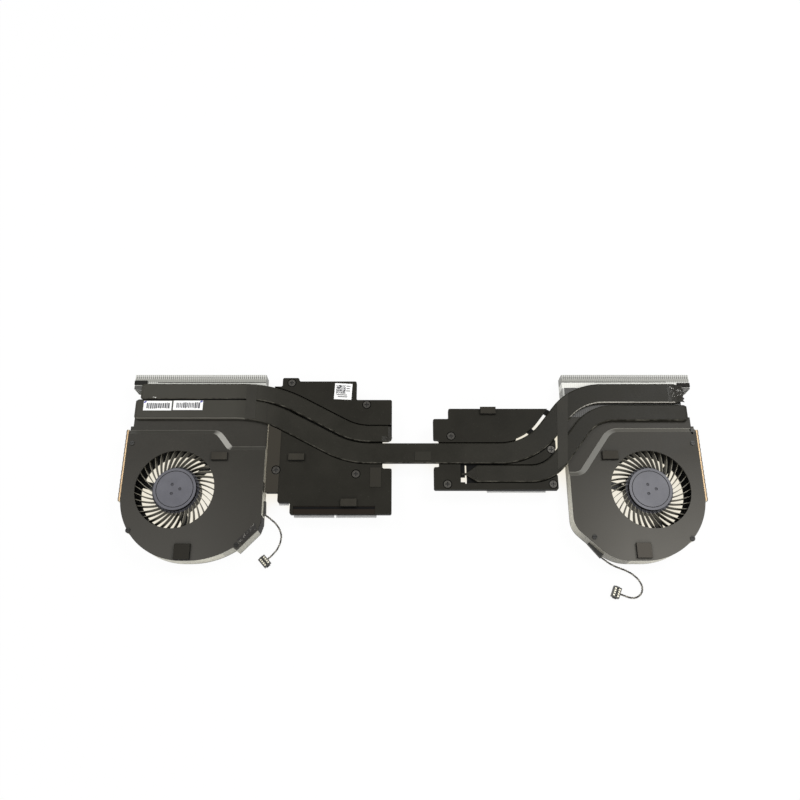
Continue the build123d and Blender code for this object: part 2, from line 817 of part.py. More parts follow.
# Captive plate screws with their seats and clips
def captive_screw(x, y):
    top = plate_top
    head = disc(x, y, screw_head_radius, top - screw_head_height, top)
    neck = disc(x, y, screw_neck_radius, plate_bottom - clip_thickness, top)
    thread = disc(x, y, screw_radius, plate_bottom - screw_reach, plate_bottom - clip_thickness)
    cross = slab((x, y, cross_length, cross_width), top - cross_depth, 2 * cross_depth)
    cross = cross + slab((x, y, cross_width, cross_length), top - cross_depth, 2 * cross_depth)
    return head + neck + thread - cross


def screw_clip(x, y):
    top = plate_bottom
    ring = disc(x, y, clip_radius, top - clip_thickness, top)
    ring = ring - disc(x, y, screw_neck_radius + fit_clearance, top - clip_thickness, top)
    mouth = slab((x + clip_radius, y, 2 * clip_radius, clip_mouth), top - clip_thickness, clip_thickness)
    return ring - mouth


def seat_screws(plate, places):
    for x, y in places:
        plate = plate - disc(x, y, screw_hole_radius, plate_bottom, plate_top)
        plate = plate - disc(x, y, screw_seat_radius, plate_top - screw_head_height, pipe_top)
    return plate


def round_upright_corners(plate):
    uprights = plate.edges().filter_by(Axis.Z)
    return fillet(uprights, plate_corner)


def graphics_plate():
    tab_west, top = by_left_fan(graphics_tab[0], graphics_tab[2])
    tab_east = by_left_fan(graphics_tab[1], graphics_tab[2])[0]
    edge_north = north - graphics_north
    edge_south = north - graphics_south
    shelf = north - graphics_shelf
    step_x, step_y = by_middle(*graphics_step)
    neck_x, neck_north = by_middle(*graphics_neck[:2])
    neck_south = north - graphics_neck[2]
    notch_x, notch_y = by_left_fan(*graphics_notch)
    foot_x, foot_y = by_left_fan(*graphics_foot)
    outline = [
        (graphics_left, notch_y), (notch_x, notch_y), (notch_x, foot_y), (foot_x, foot_y),
        (foot_x, edge_south), (graphics_east, edge_south), (graphics_east, neck_south),
        (neck_x, neck_south), (neck_x, neck_north), (graphics_east, neck_north), (graphics_east, step_y),
        (step_x, step_y), (step_x, edge_north), (tab_east, edge_north), (tab_east, top),
        (tab_west, top), (tab_west, shelf), (graphics_left, shelf),
    ]
    plate = round_upright_corners(prism(polygon(outline), plate_bottom, plate_top))
    panel_west, panel_south = by_middle(panel_box[0], panel_box[2])
    panel_east, panel_north = by_middle(panel_box[1], panel_box[3])
    plate = plate + block(panel_west, panel_east, panel_south, panel_north, plate_top, plate_top + panel_rise)
    band_start = -left_span + band_west
    plate = plate - block(band_start, band_east, edge_south - seam, edge_south + band_width,
                          plate_top - band_depth, plate_top + seam)
    column_east = graphics_left + column_width
    column_top = plate_top + column_rise
    plate = plate + block(graphics_left, column_east, notch_y, long_pipe_y, plate_top, column_top)
    tongue_west = left_fin_length - half_width + seam
    tongue_south = fan_north + 2 * seam
    plate = plate + block(tongue_west, tab_west, tongue_south, left_pipe_y, plate_bottom, fin_height)
    plate = seat_screws(plate, graphics_screws)
    left_run = left_pipe_points[:-1] + [(graphics_east + nose_length, left_pipe_points[-1][1])]
    plate = plate - pipe_channel(left_run, left_pipe_radii, slim_pipe + 2 * pipe_slit, fin_height, pipe_top)
    channel = wide_pipe + 2 * pipe_slit
    return plate - pipe_channel(long_pipe_points, long_pipe_radii, channel, fin_height, pipe_top)


def processor_plate():
    edge_north = north - processor_north
    edge_south = north - processor_south
    step_x, step_y = by_middle(*processor_step)
    neck_x, neck_north = by_middle(*processor_neck[:2])
    neck_south = north - processor_neck[2]
    outline = [
        (processor_west, edge_south), (processor_right, edge_south), (processor_right, edge_north),
        (step_x, edge_north), (step_x, step_y), (processor_west, step_y), (processor_west, neck_north),
        (neck_x, neck_north), (neck_x, neck_south), (processor_west, neck_south),
    ]
    plate = round_upright_corners(prism(polygon(outline), plate_bottom, plate_top))
    plate = seat_screws(plate, processor_screws)
    under = plate_bottom - seam
    wide = pipe_channel(long_pipe_points, long_pipe_radii, wide_pipe + 2 * curve_gap, under, pipe_top)
    bed = pipe_channel(long_pipe_points, long_pipe_radii, wide_pipe, under, pipe_top)
    gap = wide - bed
    cut_start = right_span - processor_cut
    gap = gap & block(cut_start, half_width, bridge_y + wide_pipe / 2, north, under, pipe_top)
    climb = Vector(*long_pipe_points[-2]) - Vector(*long_pipe_points[-3])
    turn = math.degrees(math.atan2(climb.Y, climb.X))
    lower_side = Pos(0, -half_width, 0) * Box(2 * half_width, 2 * half_width, 4 * pipe_top)
    gap = gap - Pos(*long_pipe_points[-3]) * Rot(0, 0, turn) * lower_side
    for place in curve_tabs:
        tab = Box(curve_tab_width, 4 * curve_gap, 2 * (fin_height - plate_bottom))
        gap = gap - Pos(*by_right_fan(*place), plate_bottom) * Rot(0, 0, turn) * tab
    plate = plate - gap
    channel = wide_pipe + 2 * pipe_slit
    plate = plate - pipe_channel(long_pipe_points, long_pipe_radii, channel, fin_height, pipe_top)
    tip_x, tip_y = right_pipe_tip
    lower_run = [(tip_x - nose_length - nib_length - pipe_slit, tip_y)] + right_pipe_points[1:]
    plate = plate - pipe_channel(lower_run, right_pipe_radii, slim_pipe + 2 * pipe_slit, fin_height, pipe_top)
    for west, east, low, high in (tip_slot, tip_window):
        plate = plate - block(tip_x + west, tip_x + east, tip_y + low, tip_y + high, under, plate_top + seam)
    return plate


def group(shapes):
    return Compound(children=[one(shape) for shape in shapes])


left_route = [(x - left_span, y + south, z) for x, y, z in left_lead_points]
right_route = [(x + right_span, y + south, z) for x, y, z in right_lead_points]
left_gland_start = Vector(-left_span, south + left_gland_from_south)
left_pads = (on_cover(-1, left_span, left_north_pad, False), on_cover(-1, left_span, left_south_pad, True))
fan("left_", -1, left_route, left_gland_start, Vector(1, 0), left_pads)
right_along = Vector(right_corner_run, -right_corner_rise).normalized()
right_out = Vector(-right_corner_rise, -right_corner_run).normalized()
right_corner = Vector(right_span, south + right_corner_rise)
right_gland_start = right_corner + right_along * right_gland_along
right_pads = (on_cover(1, right_span, right_north_pad, False), on_cover(1, right_span, right_south_pad, True))
fan("right_", 1, right_route, right_gland_start, right_out, right_pads)

nodes["left_fin_stack"] = fin_stack(-1, left_fin_length)
nodes["right_fin_stack"] = fin_stack(1, right_fin_length)
nodes["left_fin_foam"] = fin_foam(-1)
nodes["right_fin_foam"] = fin_foam(1)
nodes["left_heat_pipe"] = heat_pipe(left_pipe_points, left_pipe_radii, slim_pipe, False, False)
nodes["long_heat_pipe"] = heat_pipe(long_pipe_points, long_pipe_radii, wide_pipe, False, False)
nodes["right_heat_pipe"] = heat_pipe(right_pipe_points, right_pipe_radii, slim_pipe, True, False)

nodes["graphics_plate"] = graphics_plate()
nodes["graphics_screws"] = group([captive_screw(x, y) for x, y in graphics_screws])
nodes["graphics_clips"] = group([screw_clip(x, y) for x, y in graphics_screws])
graphics_middle = (graphics_left + graphics_east) / 2 + graphics_block_shift
graphics_block_size = (graphics_block_width, graphics_block_depth)
graphics_block = by_middle(graphics_middle, graphics_block_row, *graphics_block_size)
nodes["graphics_block"] = slab(graphics_block, plate_bottom - cold_block_height, cold_block_height)
pad_west = by_left_fan(*graphics_foot)[0] + thermal_pad_west
pad_east = graphics_east - thermal_pad_east
pad_length = (pad_east - pad_west - thermal_pad_split) / 2
pad_y = north - graphics_south - thermal_pad_overhang + thermal_pad_depth / 2
graphics_pads = [(pad_west + pad_length / 2, pad_y, pad_length, thermal_pad_depth)]
graphics_pads.append((pad_east - pad_length / 2, pad_y, pad_length, thermal_pad_depth))
corner_x, corner_y = by_left_fan(graphics_notch[0] + corner_pad[0], graphics_foot[1] + corner_pad[1])
graphics_pads.append((corner_x, corner_y, *corner_pad[2:]))
nodes["graphics_thermal_pads"] = group(
    [slab(pad, plate_bottom - thermal_pad_height, thermal_pad_height) for pad in graphics_pads])
graphics_foams = (by_left_fan(*graphics_upper_pad), by_middle(*graphics_lower_pad))
nodes["graphics_foam"] = group([foam_pad(pad, plate_top) for pad in graphics_foams])

nodes["processor_plate"] = processor_plate()
nodes["processor_screws"] = group([captive_screw(x, y) for x, y in processor_screws])
nodes["processor_clips"] = group([screw_clip(x, y) for x, y in processor_screws])
processor_middle = (processor_west + processor_right) / 2 + processor_block_shift
processor_block_size = (processor_block_width, processor_block_depth)
processor_block = by_middle(processor_middle, processor_block_row, *processor_block_size)
nodes["processor_block"] = slab(processor_block, plate_bottom - cold_block_height, cold_block_height)
south_gap, *south_pad = processor_south_pad
processor_pads = [by_right_fan(processor_gap + south_gap, *south_pad), by_middle(*processor_north_pad)]
nodes["processor_thermal_pads"] = group(
    [slab(pad, plate_bottom - thermal_pad_height, thermal_pad_height) for pad in processor_pads])
nodes["processor_foam"] = foam_pad(by_middle(*processor_pad), plate_top)

nodes["left_pipe_tape"] = slab(by_left_fan(*left_tape_box), pipe_top, tape_thickness)
right_tape = polygon([by_right_fan(*place) for place in right_tape_points])
nodes["right_pipe_tape"] = prism(right_tape, pipe_top, pipe_top + tape_thickness)
bay_tape = polygon([bay_place(along, out) for along, out in bay_tape_points])
nodes["bay_tape"] = prism(bay_tape, fan_height, fan_height + tape_thickness)
label_places = [(-half_width + x, north - row, *size) for x, row, *size in pipe_label_boxes]
nodes["pipe_labels"] = group([slab(place, pipe_top, label_thickness) for place in label_places])
label_x, label_row, label_width, label_depth = plate_label_box
plate_label = slab((0, 0, label_width, label_depth), plate_top, label_thickness)
nodes["plate_label"] = Pos(label_x, north - label_row, 0) * Rot(0, 0, plate_label_turn) * plate_label
patch_x, patch_drop, *patch_size = patch_box
nodes["bridge_patch"] = slab((patch_x, bridge_y - patch_drop, *patch_size), pipe_top, patch_thickness)

os.makedirs("parts", exist_ok=True)
for name, shape in nodes.items():
    export_step(shape, f"parts/{name}.step")
print(len(nodes), "nodes")
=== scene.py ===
import math
import random
import bmesh
import bpy
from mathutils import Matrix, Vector, noise


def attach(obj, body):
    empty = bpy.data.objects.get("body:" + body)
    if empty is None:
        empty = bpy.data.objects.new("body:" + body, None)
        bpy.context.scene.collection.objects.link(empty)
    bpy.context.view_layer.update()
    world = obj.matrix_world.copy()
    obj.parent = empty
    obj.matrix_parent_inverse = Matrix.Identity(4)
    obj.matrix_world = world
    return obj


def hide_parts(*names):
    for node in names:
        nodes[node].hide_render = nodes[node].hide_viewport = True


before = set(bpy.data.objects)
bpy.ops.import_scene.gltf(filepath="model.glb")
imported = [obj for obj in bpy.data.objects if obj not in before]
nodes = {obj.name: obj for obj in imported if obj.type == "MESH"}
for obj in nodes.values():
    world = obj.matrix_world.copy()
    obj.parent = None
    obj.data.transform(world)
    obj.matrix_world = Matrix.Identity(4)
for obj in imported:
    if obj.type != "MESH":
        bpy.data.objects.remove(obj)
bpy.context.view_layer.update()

# Stage: the cooler lies on a white table and is seen from in front and well above.
# Three large soft lamps stand over the table, one in front and one behind each fan.
scene = bpy.context.scene
camera_data = bpy.data.cameras.new("table_camera")
camera_data.lens = 35.1
camera_data.sensor_width = 36.0
camera_data.clip_start = 0.01
camera = bpy.data.objects.new("table_camera", camera_data)
camera.location = (-0.0071, -0.12505, 0.4365)
camera.rotation_euler = (math.radians(21.0), 0.0, 0.0)
scene.collection.objects.link(camera)
scene.camera = camera
scene.view_settings.view_transform = "Standard"


def new_material(name):
    material = bpy.data.materials.new(name)
    material.use_nodes = True
    tree = material.node_tree
    return material, tree, tree.nodes["Principled BSDF"]


def feed(tree, socket, value):
    if isinstance(value, bpy.types.NodeSocket):
        tree.links.new(value, socket)
    elif isinstance(value, tuple):
        socket.default_value = (*value, 1.0)
    else:
        socket.default_value = value


def calculate(tree, operation, *values):
    node = tree.nodes.new("ShaderNodeMath")
    node.operation = operation
    for socket, value in zip(node.inputs, values):
        feed(tree, socket, value)
    return node.outputs[0]


def times(tree, product, *others):
    for other in others:
        product = calculate(tree, "MULTIPLY", product, other)
    return product


def ramp(tree, value, start, end, low=0.0, high=1.0):
    slope = tree.nodes.new("ShaderNodeMapRange")
    slope.inputs["From Min"].default_value = start
    slope.inputs["From Max"].default_value = end
    slope.inputs["To Min"].default_value = low
    slope.inputs["To Max"].default_value = high
    feed(tree, slope.inputs["Value"], value)
    return slope.outputs["Result"]


def mixed(tree, share, first, second):
    mix = tree.nodes.new("ShaderNodeMix")
    mix.data_type = "RGBA"
    feed(tree, mix.inputs[0], share)
    feed(tree, mix.inputs[6], first)
    feed(tree, mix.inputs[7], second)
    return mix.outputs[2]


def seen_directly(tree):
    path = tree.nodes.new("ShaderNodeLightPath")
    seen = calculate(tree, "MAXIMUM", path.outputs["Is Camera Ray"], path.outputs["Is Glossy Ray"])
    return calculate(tree, "MAXIMUM", seen, path.outputs["Is Transmission Ray"])


table_half = 4.0
table_z = -0.0003
shade_reach = 0.03
warm_shade = (0.90, 0.83, 0.66)
glow_share = 0.95
table_mesh = bpy.data.meshes.new("table_top")
table_mesh.from_pydata(
    [(x * table_half, y * table_half, table_z) for x, y in ((-1, -1), (1, -1), (1, 1), (-1, 1))],
    [], [(0, 1, 2, 3)])
table = bpy.data.objects.new("table_top", table_mesh)
scene.collection.objects.link(table)
table_white, tree, shader = new_material("table_white")
shader.inputs["Base Color"].default_value = (0.9, 0.9, 0.9, 1.0)
shader.inputs["Roughness"].default_value = 0.9
# Painted shade: the table's glow turns warm cream where ambient occlusion finds it covered, as under the fan
# inlets.
covered = tree.nodes.new("ShaderNodeAmbientOcclusion")
covered.inputs["Distance"].default_value = shade_reach
glow = tree.nodes.new("ShaderNodeEmission")
glow.inputs["Strength"].default_value = 1.0
open_sky = ramp(tree, covered.outputs["AO"], 0.05, 0.42)
feed(tree, glow.inputs["Color"], mixed(tree, open_sky, warm_shade, (1.0, 1.0, 1.0)))
blend = tree.nodes.new("ShaderNodeMixShader")
feed(tree, blend.inputs[0], times(tree, seen_directly(tree), glow_share))
feed(tree, blend.inputs[1], shader.outputs[0])
feed(tree, blend.inputs[2], glow.outputs[0])
feed(tree, tree.nodes["Material Output"].inputs["Surface"], blend.outputs[0])
table_mesh.materials.append(table_white)

room_light = 0.30
world = bpy.data.worlds.new("white_room")
scene.world = world
world.use_nodes = True
tree = world.node_tree
backdrop = tree.nodes["Background"]
backdrop.inputs["Color"].default_value = (1.0, 0.99, 0.97, 1.0)
feed(tree, backdrop.inputs["Strength"], ramp(tree, seen_directly(tree), 0.0, 1.0, room_light, 1.0))

lamps = [
    ("front_lamp", (0.0, -0.75, 0.95), (0.0, 0.0, 0.0), 1.1, 8.0),
    ("back_left_lamp", (-0.50, 0.34, 0.70), (-0.13, 0.0, 0.0), 0.34, 2.4),
    ("back_right_lamp", (0.48, 0.28, 0.70), (0.13, 0.0, 0.0), 0.34, 4.2),
]
for name, place, target, size, power in lamps:
    lamp_data = bpy.data.lights.new(name, "AREA")
    lamp_data.size = size
    lamp_data.energy = power
    lamp = bpy.data.objects.new(name, lamp_data)
    lamp.location = place
    lamp.rotation_euler = (Vector(target) - Vector(place)).to_track_quat("-Z", "Y").to_euler()
    scene.collection.objects.link(lamp)

# Fan leads: three thin wires twisted together, black, grey and brown, soft enough to lie on the table.
# Each leaves a black gland on the fan's wall and ends in a small moulded plug with metal contacts.
lead_diameter = 0.0011
lead_routes = {
    "left": [
        (-0.0828, -0.0284, 0.0046), (-0.0792, -0.0309, 0.0046), (-0.0755, -0.0342, 0.0030),
        (-0.0734, -0.0388, 0.0011), (-0.0740, -0.0438, 0.00075), (-0.0764, -0.0487, 0.00075),
        (-0.0804, -0.0523, 0.00075),
    ],
    "right": [
        (0.1036, -0.0520, 0.0044), (0.1074, -0.0552, 0.0044), (0.1121, -0.0572, 0.0030),
        (0.1170, -0.0585, 0.0014), (0.1214, -0.0608, 0.00085), (0.1248, -0.0644, 0.00075),
        (0.1260, -0.0688, 0.00075), (0.1238, -0.0725, 0.00075), (0.1198, -0.0737, 0.00075),
        (0.1162, -0.0726, 0.00075), (0.1130, -0.0713, 0.00075),
    ],
}


def fine_grain_group():
    group = bpy.data.node_groups.new("fine_grain", "ShaderNodeTree")
    scale = group.interface.new_socket("Grains per metre", in_out="INPUT", socket_type="NodeSocketFloat")
    scale.default_value = 2500.0
    for name in ("Grain", "Smudge", "Dust"):
        group.interface.new_socket(name, in_out="OUTPUT", socket_type="NodeSocketFloat")
    entry = group.nodes.new("NodeGroupInput")
    leave = group.nodes.new("NodeGroupOutput")
    place = group.nodes.new("ShaderNodeTexCoord")
    grain = group.nodes.new("ShaderNodeTexNoise")
    grain.inputs["Detail"].default_value = 3.0
    feed(group, grain.inputs["Scale"], entry.outputs[0])
    smudge = group.nodes.new("ShaderNodeTexNoise")
    smudge.inputs["Scale"].default_value = 55.0
    smudge.inputs["Detail"].default_value = 5.0
    smudge.inputs["Roughness"].default_value = 0.6
    specks = group.nodes.new("ShaderNodeTexVoronoi")
    specks.inputs["Scale"].default_value = 900.0
    for texture in (grain, smudge, specks):
        feed(group, texture.inputs["Vector"], place.outputs["Object"])
    speck_reach = 0.13
    small = calculate(group, "LESS_THAN", specks.outputs["Distance"], speck_reach)
    cell = group.nodes.new("ShaderNodeSeparateColor")
    feed(group, cell.inputs[0], specks.outputs["Color"])
    bare_share = 0.86
    few = calculate(group, "GREATER_THAN", cell.outputs[0], bare_share)
    feed(group, leave.inputs["Grain"], grain.outputs["Fac"])
    feed(group, leave.inputs["Smudge"], ramp(group, smudge.outputs["Fac"], 0.3, 0.7))
    feed(group, leave.inputs["Dust"], times(group, small, few))
    return group


fine_grain = fine_grain_group()


def grain_of(tree, grains=2500.0):
    grain = tree.nodes.new("ShaderNodeGroup")
    grain.node_tree = fine_grain
    grain.inputs["Grains per metre"].default_value = grains
    return grain.outputs


def repaint(tree, shader, mask, colour):
    base = shader.inputs["Base Color"]
    feed(tree, base, mixed(tree, mask, base.links[0].from_socket, colour))


def roughen(tree, shader, height, strength, depth):
    relief = tree.nodes.new("ShaderNodeBump")
    relief.inputs["Strength"].default_value = strength
    relief.inputs["Distance"].default_value = depth
    feed(tree, relief.inputs["Height"], height)
    feed(tree, shader.inputs["Normal"], relief.outputs["Normal"])


def grained(name, low, high, rough, grains=2500.0, bump=0.06, metal=0.0, gloss=0.5, dusty=0.0):
    rough_swing = 0.12
    speckle_share = 0.35
    grain_depth = 0.00004
    dust_grey = (0.30, 0.29, 0.26)
    material, tree, shader = new_material(name)
    grain = grain_of(tree, grains)
    speckle = tree.nodes.new("ShaderNodeMix")
    speckle.data_type = "RGBA"
    speckle.blend_type = "OVERLAY"
    speckle.inputs[0].default_value = speckle_share
    feed(tree, speckle.inputs[6], mixed(tree, grain["Smudge"], low, high))
    feed(tree, speckle.inputs[7], grain["Grain"])
    feed(tree, shader.inputs["Base Color"], speckle.outputs[2])
    if dusty:
        repaint(tree, shader, times(tree, grain["Dust"], dusty), dust_grey)
    dull = ramp(tree, grain["Smudge"], 0.0, 1.0, rough - rough_swing / 2, rough + rough_swing / 2)
    feed(tree, shader.inputs["Roughness"], dull)
    roughen(tree, shader, grain["Grain"], bump, grain_depth)
    shader.inputs["Metallic"].default_value = metal
    shader.inputs["Specular IOR Level"].default_value = gloss
    return material


def dress(node, material):
    piece = nodes[node]
    piece.data.materials.clear()
    piece.data.materials.append(material)


def new_piece(name, shape, slot, *materials):
    mesh = bpy.data.meshes.new(name)
    shape.to_mesh(mesh)
    shape.free()
    piece = bpy.data.objects.new(name, mesh)
    scene.collection.objects.link(piece)
    for material in materials:
        mesh.materials.append(material)
    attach(piece, "heat_sink")
    return piece


def add_box(shape, centre, size, turn=0.0):
    made = bmesh.ops.create_cube(shape, size=1.0)
    for vertex in made["verts"]:
        x, y, z = (vertex.co[axis] * size[axis] for axis in range(3))
        vertex.co = (centre[0] + x * math.cos(turn) - y * math.sin(turn),
                     centre[1] + x * math.sin(turn) + y * math.cos(turn), centre[2] + z)


def spline_points(name, route):
    curve = bpy.data.curves.new(name, "CURVE")
    curve.dimensions = "3D"
    curve.resolution_u = 10
    spline = curve.splines.new("NURBS")
    spline.points.add(len(route) - 1)
    for point, place in zip(spline.points, route):
        point.co = (*place, 1.0)
    spline.order_u = 3
    spline.use_endpoint_u = True
    line = bpy.data.objects.new(name, curve)
    mesh = bpy.data.meshes.new_from_object(line)
    points = [vertex.co.copy() for vertex in mesh.vertices]
    bpy.data.meshes.remove(mesh)
    bpy.data.objects.remove(line)
    bpy.data.curves.remove(curve)
    return points


def twisted_wires(points):
    wire_count = 3
    twist_length = 0.0042
    wire_share = 0.24
    wire_radius = lead_diameter * wire_share
    circle = lead_diameter / 2 - wire_radius
    sides = 8
    shape = bmesh.new()
    for wire in range(wire_count):
        rings = []
        run = 0.0
        for index, point in enumerate(points):
            before = points[max(index - 1, 0)]
            after = points[min(index + 1, len(points) - 1)]
            along = (after - before).normalized()
            across = along.cross(Vector((0.0, 0.0, 1.0))).normalized()
            over = across.cross(along)
            if index:
                run += (point - points[index - 1]).length
            turn = 2 * math.pi * (run / twist_length + wire / wire_count)
            centre = point + circle * (math.cos(turn) * across + math.sin(turn) * over)
            angles = [2 * math.pi * side / sides for side in range(sides)]
            spokes = [math.cos(angle) * across + math.sin(angle) * over for angle in angles]
            rings.append([shape.verts.new(centre + wire_radius * spoke) for spoke in spokes])
        for first, second in zip(rings, rings[1:]):
            for side in range(sides):
                after = (side + 1) % sides
                face = shape.faces.new((first[side], first[after], second[after], second[side]))
                face.material_index = wire
                face.smooth = True
        for ring in (list(reversed(rings[0])), rings[-1]):
            cap = shape.faces.new(ring)
            cap.material_index = wire
    bmesh.ops.recalc_face_normals(shape, faces=shape.faces)
    return shape


wire_black = grained("wire_black", (0.012, 0.012, 0.012), (0.03, 0.03, 0.028), 0.5)
wire_grey = grained("wire_grey", (0.20, 0.19, 0.16), (0.34, 0.32, 0.27), 0.5)
wire_brown = grained("wire_brown", (0.035, 0.031, 0.024), (0.07, 0.062, 0.048), 0.5)
plug_black = grained("plug_black", (0.012, 0.012, 0.011), (0.035, 0.034, 0.03), 0.4)
contact_metal = grained("contact_metal", (0.55, 0.52, 0.40), (0.85, 0.82, 0.70), 0.35, metal=0.3)
gland_black = grained("gland_black", (0.012, 0.012, 0.011), (0.03, 0.029, 0.026), 0.55)
plug_length = 0.0044
plug_top = 0.00245
contact_size = (0.00095, 0.00078, 0.0002)
contact_sink = 0.00005
contact_pitch = 0.00125
contacts_in_row = 4
contact_rows = (plug_length * 0.22, plug_length * 0.72)
for side, route in lead_routes.items():
    points = spline_points(side + "_lead_line", route)
    wires = new_piece(side + "_wires", twisted_wires(points), "lead_sheath",
                      wire_black, wire_grey, wire_brown)
    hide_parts(side + "_fan_lead")
    plug_start = Vector(route[-1])
    heading = plug_start - Vector(route[-2])
    turn = math.atan2(heading.y, heading.x)
    shape = bmesh.new()
    for index in range(contacts_in_row):
        offset = (index - (contacts_in_row - 1) / 2) * contact_pitch
        for reach in contact_rows:
            place = plug_start + Vector((reach * math.cos(turn) - offset * math.sin(turn),
                                         reach * math.sin(turn) + offset * math.cos(turn), 0.0))
            add_box(shape, (place.x, place.y, plug_top - contact_sink), contact_size, turn)
    contacts = new_piece(side + "_plug_contacts", shape, "steel", contact_metal)
    dress(side + "_lead_plug", plug_black)
    dress(side + "_lead_gland", gland_black)

# Fan shells: a stamped floor with three spokes across its inlet, painted near black as shade, and a pale wall
# standing on it.
# The wall shows under the cover's edge along the front and the inner sides; painted shade darkens it on the
# right fan's slant, and it is greyer towards the front in the left cable bay.
# Black tape and film are stuck to the left shell's inner wall.


def part_place_group():
    group = bpy.data.node_groups.new("part_place", "ShaderNodeTree")
    for name in ("X mm", "Y mm", "Z mm", "Up", "Sideways", "Frontal"):
        group.interface.new_socket(name, in_out="OUTPUT", socket_type="NodeSocketFloat")
    leave = group.nodes.new("NodeGroupOutput")
    place = group.nodes.new("ShaderNodeTexCoord")
    millimetres = group.nodes.new("ShaderNodeVectorMath")
    millimetres.operation = "SCALE"
    millimetres.inputs["Scale"].default_value = 1000.0
    feed(group, millimetres.inputs[0], place.outputs["Object"])
    spot = group.nodes.new("ShaderNodeSeparateXYZ")
    feed(group, spot.inputs[0], millimetres.outputs["Vector"])
    surface = group.nodes.new("ShaderNodeNewGeometry")
    facing = group.nodes.new("ShaderNodeSeparateXYZ")
    feed(group, facing.inputs[0], surface.outputs["Normal"])
    for axis in "XYZ":
        feed(group, leave.inputs[axis + " mm"], spot.outputs[axis])
    feed(group, leave.inputs["Up"], facing.outputs["Z"])
    feed(group, leave.inputs["Sideways"], calculate(group, "ABSOLUTE", facing.outputs["X"]))
    feed(group, leave.inputs["Frontal"], calculate(group, "MULTIPLY", facing.outputs["Y"], -1.0))
    return group


part_place = part_place_group()


def placed(tree):
    group = tree.nodes.new("ShaderNodeGroup")
    group.node_tree = part_place
    return group.outputs


def between(tree, value, low, high):
    above = calculate(tree, "GREATER_THAN", value, low)
    return times(tree, above, calculate(tree, "LESS_THAN", value, high))


def upright_sheet(route, bottom, top):
    shape = bmesh.new()
    lower = [shape.verts.new((x, y, bottom)) for x, y in route]
    upper = [shape.verts.new((x, y, top)) for x, y in route]
    for index in range(len(route) - 1):
        shape.faces.new((lower[index], lower[index + 1], upper[index + 1], upper[index]))
    return shape


floor_top_mm = 0.85
floor_shade_black = (0.012, 0.012, 0.011)
wall_dull, wall_bright = (0.40, 0.385, 0.31), (0.58, 0.56, 0.46)
slant_x_mm, slant_fade_mm = (80.0, 118.0), (-34.0, -42.0)
slant_shade_grey = (0.20, 0.19, 0.155)
bay_x_mm, bay_fade_mm = (-104.0, -80.0), (-28.0, -36.0)
bay_grey = (0.34, 0.33, 0.27)
shell, tree, shader = new_material("shell_wall_and_floor")
spot = placed(tree)
grain = grain_of(tree)
wall_paint = mixed(tree, grain["Smudge"], wall_dull, wall_bright)
wall = calculate(tree, "GREATER_THAN", spot["Z mm"], floor_top_mm)
# Painted shade: the shell floor below the wall is painted near black.
feed(tree, shader.inputs["Base Color"], mixed(tree, wall, floor_shade_black, wall_paint))
# Painted shade: the right fan's slanted wall is darkened towards the front.
right_slant_shade = times(tree, ramp(tree, spot["Y mm"], *slant_fade_mm), between(tree, spot["X mm"], *slant_x_mm))
repaint(tree, shader, times(tree, right_slant_shade, wall), slant_shade_grey)
left_bay = times(tree, ramp(tree, spot["Y mm"], *bay_fade_mm), between(tree, spot["X mm"], *bay_x_mm))
repaint(tree, shader, times(tree, left_bay, wall), bay_grey)
roughen(tree, shader, grain["Grain"], 0.08, 0.00004)
shader.inputs["Roughness"].default_value = 0.45
for side in ("left", "right"):
    dress(side + "_fan_frame", shell)

tape_black = grained("tape_black", (0.010, 0.009, 0.008), (0.020, 0.018, 0.016), 0.6, gloss=0.15)
tape_route = [(-0.08368, -0.0300), (-0.08368, -0.03382), (-0.08516, -0.03845)]
tape_bottom, tape_top = 0.0006, 0.0112
new_piece("left_wall_tape", upright_sheet(tape_route, tape_bottom, tape_top), "black_tape", tape_black)
film_route = [(-0.08370, -0.0106), (-0.08370, -0.0165)]
film_bottom, film_top = 0.0066, 0.0108
new_piece("left_wall_film", upright_sheet(film_route, film_bottom, film_top), "black_tape", tape_black)

# Motors: laminated stator with copper coils on a green board, a bronze bush on a pale thrust pad.
# All of it is hidden under the hub and shows only when the rotor is taken off.
plain_steel = grained("plain_steel", (0.42, 0.42, 0.42), (0.55, 0.55, 0.55), 0.3, metal=1.0)
motor_looks = {
    "stator_core": grained("stator_steel", (0.10, 0.10, 0.10), (0.18, 0.18, 0.18), 0.4, metal=1.0),
    "stator_coils": grained("coil_copper", (0.48, 0.20, 0.09), (0.62, 0.30, 0.15), 0.35,
                            grains=6000.0, metal=1.0),
    "motor_board": grained("board_green", (0.010, 0.07, 0.03), (0.02, 0.11, 0.05), 0.35),
    "bearing_bush": grained("bush_bronze", (0.40, 0.26, 0.10), (0.52, 0.36, 0.17), 0.5, metal=1.0),
    "thrust_pad": grained("thrust_white", (0.72, 0.72, 0.68), (0.82, 0.82, 0.78), 0.4),
    "shaft": plain_steel,
    "rotor_cup": plain_steel,
    "magnet_ring": grained("magnet_black", (0.02, 0.02, 0.02), (0.04, 0.04, 0.04), 0.6),
}
for side in ("left", "right"):
    for piece, look in motor_looks.items():
        dress(side + "_" + piece, look)
